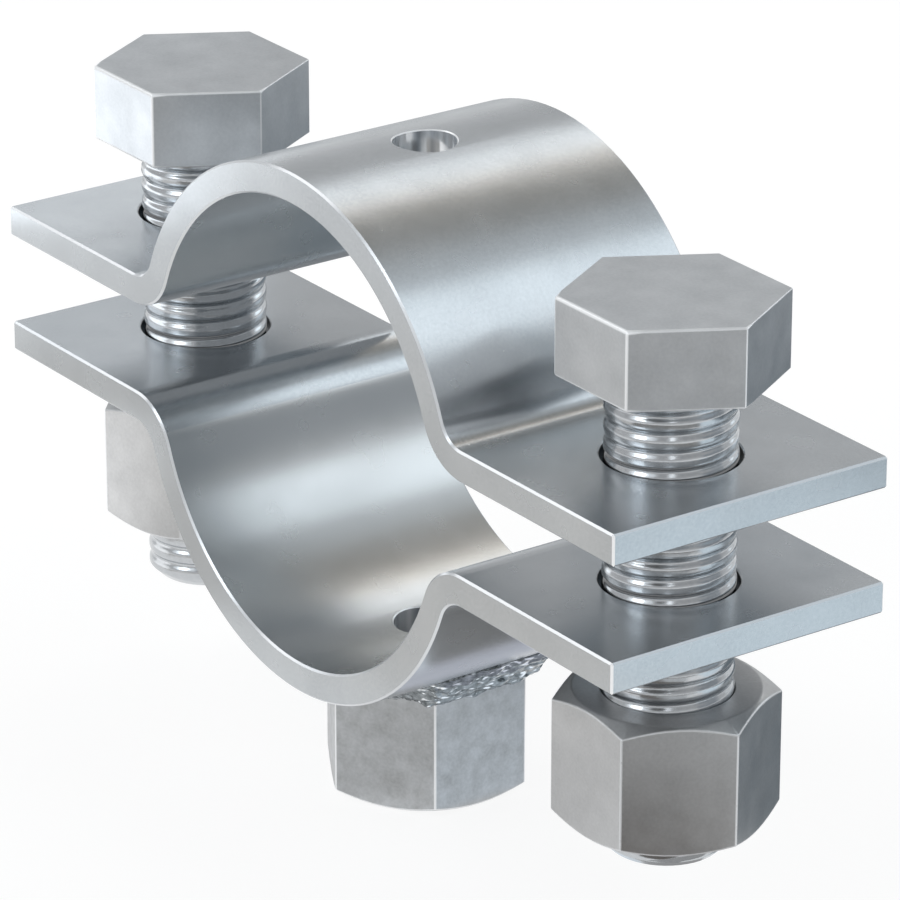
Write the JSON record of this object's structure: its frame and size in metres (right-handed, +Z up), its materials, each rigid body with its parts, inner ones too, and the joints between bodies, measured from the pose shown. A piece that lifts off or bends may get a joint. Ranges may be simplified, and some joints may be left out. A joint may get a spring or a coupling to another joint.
{
  "type": "pipe clamp",
  "caption": "Fixed point pipe clamp: flanged half shells drawn together by bolts round a steel pipe, with a welded connection nut below for a threaded rod.",
  "frame": {"origin": "centre of the pipe seat, on the pipe's axis at the middle of the strip's width", "axes": "+Y along the pipe, +X along the flanges, +Z up from the connection nut to the bolt heads"},
  "size_m": [0.131, 0.04, 0.0854],
  "materials": {
    "strip_zinc": "bright zinc plated, lightly brushed",
    "bolt_zinc": "bright zinc plated",
    "nut_zinc": "satin zinc plated",
    "connection_zinc": "dull mottled zinc plated",
    "weld_metal": "rippled weld metal, zinc plated"
  },
  "bodies": {
    "lower_clamp": {"lower_half_shell": "strip_zinc", "connection_nut": "connection_zinc", "left_weld_bead": "weld_metal", "right_weld_bead": "weld_metal"},
    "upper_clamp": {"upper_half_shell": "strip_zinc"},
    "left_bolt": {"left_bolt": "bolt_zinc"},
    "right_bolt": {"right_bolt": "bolt_zinc"},
    "left_nut": {"left_nut": "nut_zinc"},
    "right_nut": {"right_nut": "nut_zinc"}
  },
  "joints": [
    {"name": "upper_half_slide", "type": "slide", "parent": "lower_clamp", "child": "upper_clamp", "axis": [0, 0, 1], "range_m": [-0.012, 0.0101]},
    {"name": "left_bolt_turn", "type": "hinge", "parent": "lower_clamp", "child": "left_bolt", "pos_m": [-0.04999, 0, 0], "axis": [0, 0, -1], "range_deg": [-1476, 936]},
    {"name": "right_bolt_turn", "type": "hinge", "parent": "lower_clamp", "child": "right_bolt", "pos_m": [0.04999, 0, 0], "axis": [0, 0, -1], "range_deg": [-630, 1782]},
    {"name": "left_nut_travel", "type": "slide", "parent": "lower_clamp", "child": "left_nut", "axis": [0, 0, 1], "range_m": [-0.0082, 0.0052]},
    {"name": "right_nut_travel", "type": "slide", "parent": "lower_clamp", "child": "right_nut", "axis": [0, 0, 1], "range_m": [-0.0035, 0.0099]}
  ],
  "couplings": [
    {"joint": "left_nut_travel", "follows": "left_bolt_turn", "m_per_rad": 0.0003183},
    {"joint": "right_nut_travel", "follows": "right_bolt_turn", "m_per_rad": 0.0003183}
  ]
}
